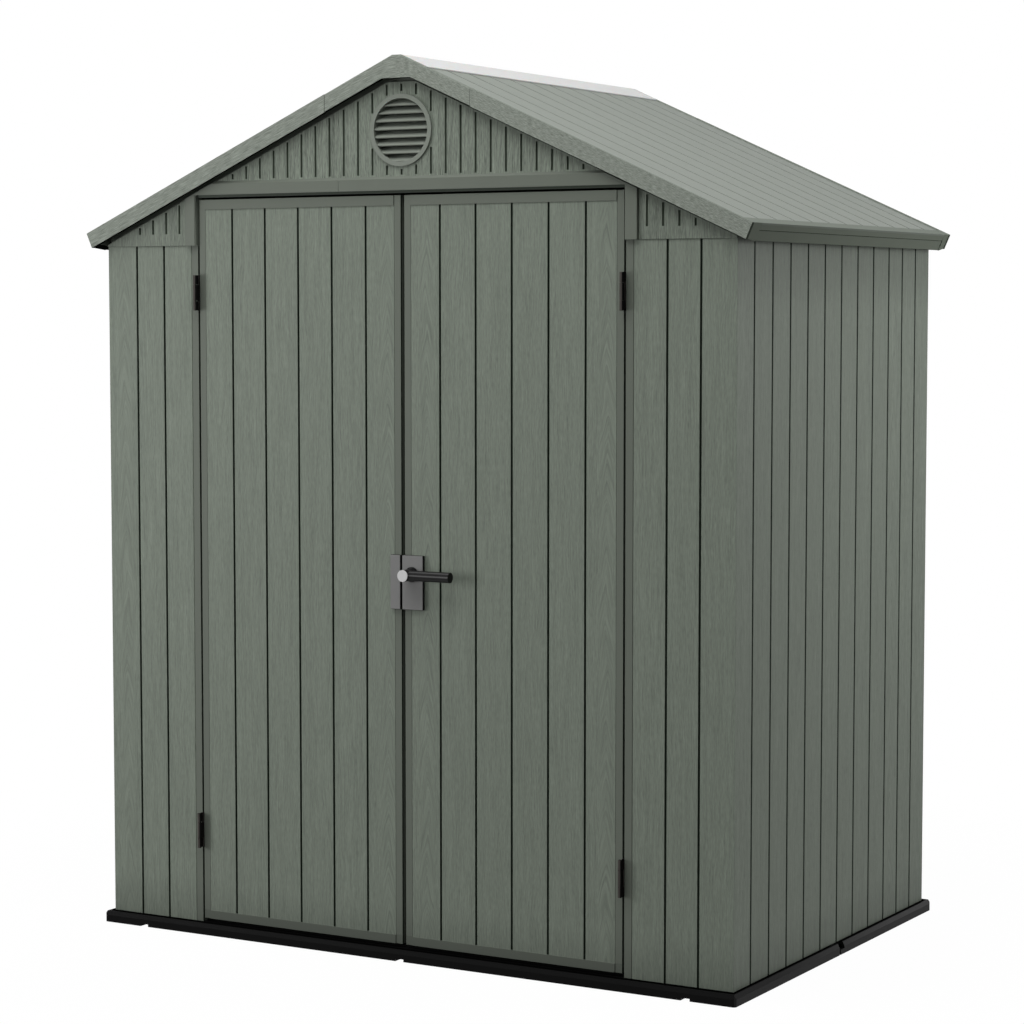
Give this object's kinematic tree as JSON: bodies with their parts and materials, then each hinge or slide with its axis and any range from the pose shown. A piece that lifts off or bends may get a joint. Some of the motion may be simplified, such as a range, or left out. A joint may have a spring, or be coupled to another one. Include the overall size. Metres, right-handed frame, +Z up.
{
  "type": "resin garden shed",
  "caption": "Gabled garden shed of grooved resin panels on a low base, with a ridge skylight, vents in the gables, and double doors closed by a lever handle.",
  "frame": {"origin": "on the ground, at the centre of the walls in plan", "axes": "+Z up, +X to the right as seen from in front of the doors, +Y from the doors to the back wall"},
  "size_m": [1.778, 1.1738, 2.08],
  "materials": {
    "base_resin": "satin black moulded resin",
    "wall_resin": "grey-green resin embossed with wood grain",
    "smooth_resin": "smooth grey-green resin",
    "roof_resin": "grey-green resin, finely grained",
    "fascia_resin": "grey-green resin with coarse grain along the rake",
    "trim_resin": "smooth darker grey-green resin",
    "skylight_resin": "translucent white sheet",
    "hinge_resin": "brown-black moulded resin",
    "plate_resin": "mid grey moulded resin",
    "lever_resin": "satin black",
    "cap_resin": "pale grey disc"
  },
  "bodies": {
    "shell": {"floor_front": "base_resin", "floor_rear": "base_resin", "front_corner_left": "wall_resin", "front_corner_right": "wall_resin", "side_panel_left": "wall_resin", "side_panel_right": "wall_resin", "rear_corner_left": "wall_resin", "rear_corner_right": "wall_resin", "back_panel_left": "wall_resin", "back_panel_right": "wall_resin", "shoulder_left": "wall_resin", "shoulder_right": "wall_resin", "door_header": "smooth_resin", "front_gable": "wall_resin", "rear_gable": "wall_resin", "front_vent": "smooth_resin", "rear_vent": "smooth_resin", "roof_left_front": "roof_resin", "roof_left_rear": "roof_resin", "roof_right_front": "roof_resin", "roof_right_rear": "roof_resin", "ridge_skylight": "skylight_resin", "front_fascia_left": "fascia_resin", "front_fascia_apex": "fascia_resin", "front_fascia_right": "fascia_resin", "rear_fascia_left": "fascia_resin", "rear_fascia_apex": "fascia_resin", "rear_fascia_right": "fascia_resin", "eave_trim_left": "trim_resin", "eave_trim_right": "trim_resin", "wall_hinges_left": "hinge_resin", "wall_hinges_right": "hinge_resin"},
    "left_door": {"door_left": "wall_resin", "door_hinges_left": "hinge_resin", "strike_plate": "plate_resin"},
    "right_door": {"door_right": "wall_resin", "door_hinges_right": "hinge_resin", "lock_plate": "plate_resin"},
    "handle": {"lever_handle": "lever_resin", "lever_cap": "cap_resin"}
  },
  "joints": [
    {"name": "left_door_swing", "type": "hinge", "parent": "shell", "child": "left_door", "pos_m": [-0.5725, -0.5645, 0.9], "axis": [0, 0, -1], "range_deg": [0, 110]},
    {"name": "right_door_swing", "type": "hinge", "parent": "shell", "child": "right_door", "pos_m": [0.5725, -0.5645, 0.9], "axis": [0, 0, 1], "range_deg": [0, 110]},
    {"name": "lever_turn", "type": "hinge", "parent": "right_door", "child": "handle", "pos_m": [0.0291, -0.5575, 0.9], "axis": [0, 1, 0], "range_deg": [0, 90]}
  ]
}
